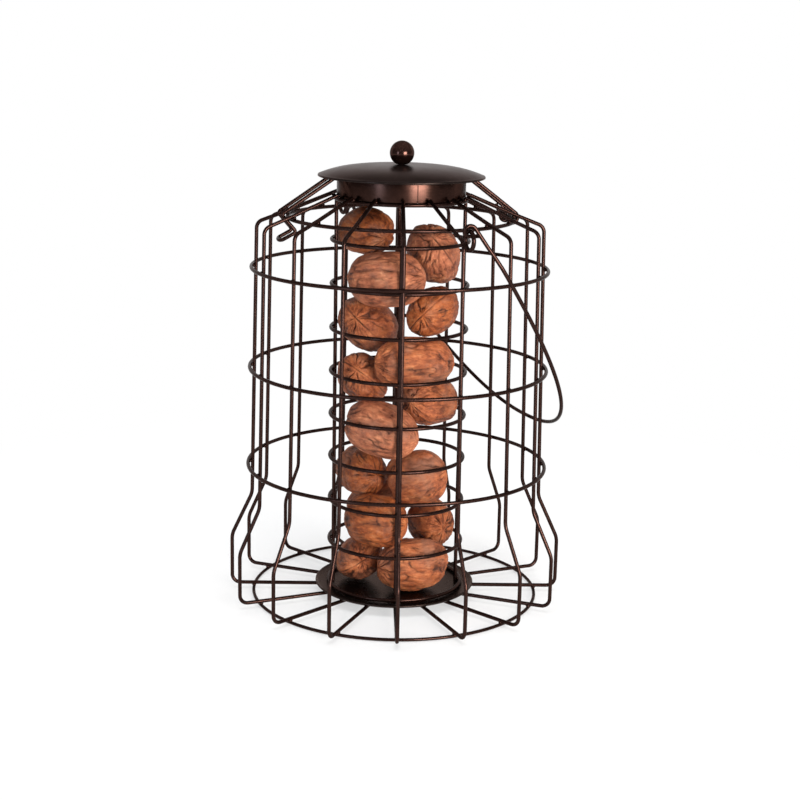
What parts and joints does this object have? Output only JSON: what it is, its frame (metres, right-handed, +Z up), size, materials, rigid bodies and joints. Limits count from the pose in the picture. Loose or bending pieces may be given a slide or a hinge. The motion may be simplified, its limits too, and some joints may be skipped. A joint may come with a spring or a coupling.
{
  "type": "bird feeder",
  "caption": "Squirrel-proof feeder: a mesh tube of walnuts inside a round cage of bent wire ribs, with a hinged spring-latched lid and a swinging wire bail.",
  "frame": {"origin": "on the floor under the middle axis of the cage, level with the foot ring's underside", "axes": "+Z up along the cage's axis, -Y towards the front, +X towards the side where the bail hangs, with the lid's hinge 14.3 degrees further round towards +Y"},
  "size_m": [0.1784, 0.1817, 0.243],
  "materials": {
    "wire": "satin dark antique copper coating",
    "sheet": "satin dark antique copper coating",
    "ball": "glossy dark brown coating",
    "fastener": "plain zinc plated",
    "walnut_shell": "dry wrinkled shell"
  },
  "bodies": {
    "cage": {"cage_rib_01": "wire", "cage_rib_02": "wire", "cage_rib_03": "wire", "cage_rib_04": "wire", "cage_rib_05": "wire", "cage_rib_06": "wire", "cage_rib_07": "wire", "cage_rib_08": "wire", "cage_rib_09": "wire", "cage_rib_10": "wire", "cage_rib_11": "wire", "cage_rib_12": "wire", "cage_rib_13": "wire", "cage_rib_14": "wire", "cage_rib_15": "wire", "cage_rib_16": "wire", "neck_ring": "wire", "shoulder_ring": "wire", "upper_hoop": "wire", "middle_hoop": "wire", "lower_hoop": "wire", "foot_ring": "wire", "base_plate": "sheet", "tube_upright_1": "wire", "tube_upright_2": "wire", "tube_upright_3": "wire", "tube_upright_4": "wire", "tube_band_1": "wire", "tube_band_2": "wire", "tube_band_3": "wire", "tube_band_4": "wire", "tube_band_5": "wire", "tube_band_6": "wire", "tube_band_7": "wire", "tube_band_8": "wire", "tube_band_9": "wire", "bail_eye_front": "wire", "bail_eye_back": "wire", "walnut_01": "walnut_shell", "walnut_02": "walnut_shell", "walnut_03": "walnut_shell", "walnut_04": "walnut_shell", "walnut_05": "walnut_shell", "walnut_06": "walnut_shell", "walnut_07": "walnut_shell", "walnut_08": "walnut_shell", "walnut_09": "walnut_shell", "walnut_10": "walnut_shell", "walnut_11": "walnut_shell", "walnut_12": "walnut_shell", "walnut_13": "walnut_shell", "walnut_14": "walnut_shell", "walnut_15": "walnut_shell", "walnut_16": "walnut_shell"},
    "lid": {"lid_dome": "sheet", "lid_skirt": "sheet", "ball_knob": "ball", "flange_nut": "fastener", "lid_spring_wire": "wire"},
    "bail": {"bail": "wire"}
  },
  "joints": [
    {"name": "lid_hinge", "type": "hinge", "parent": "cage", "child": "lid", "pos_m": [0.05688, 0.0145, 0.20361], "axis": [-0.247, 0.969, 0], "range_deg": [0, 110], "deforming": ["lid_spring_wire"]},
    {"name": "bail_swing", "type": "hinge", "parent": "cage", "child": "bail", "pos_m": [0, 0, 0.2062], "axis": [0.4067, -0.9135, 0], "range_deg": [0, 287]}
  ]
}
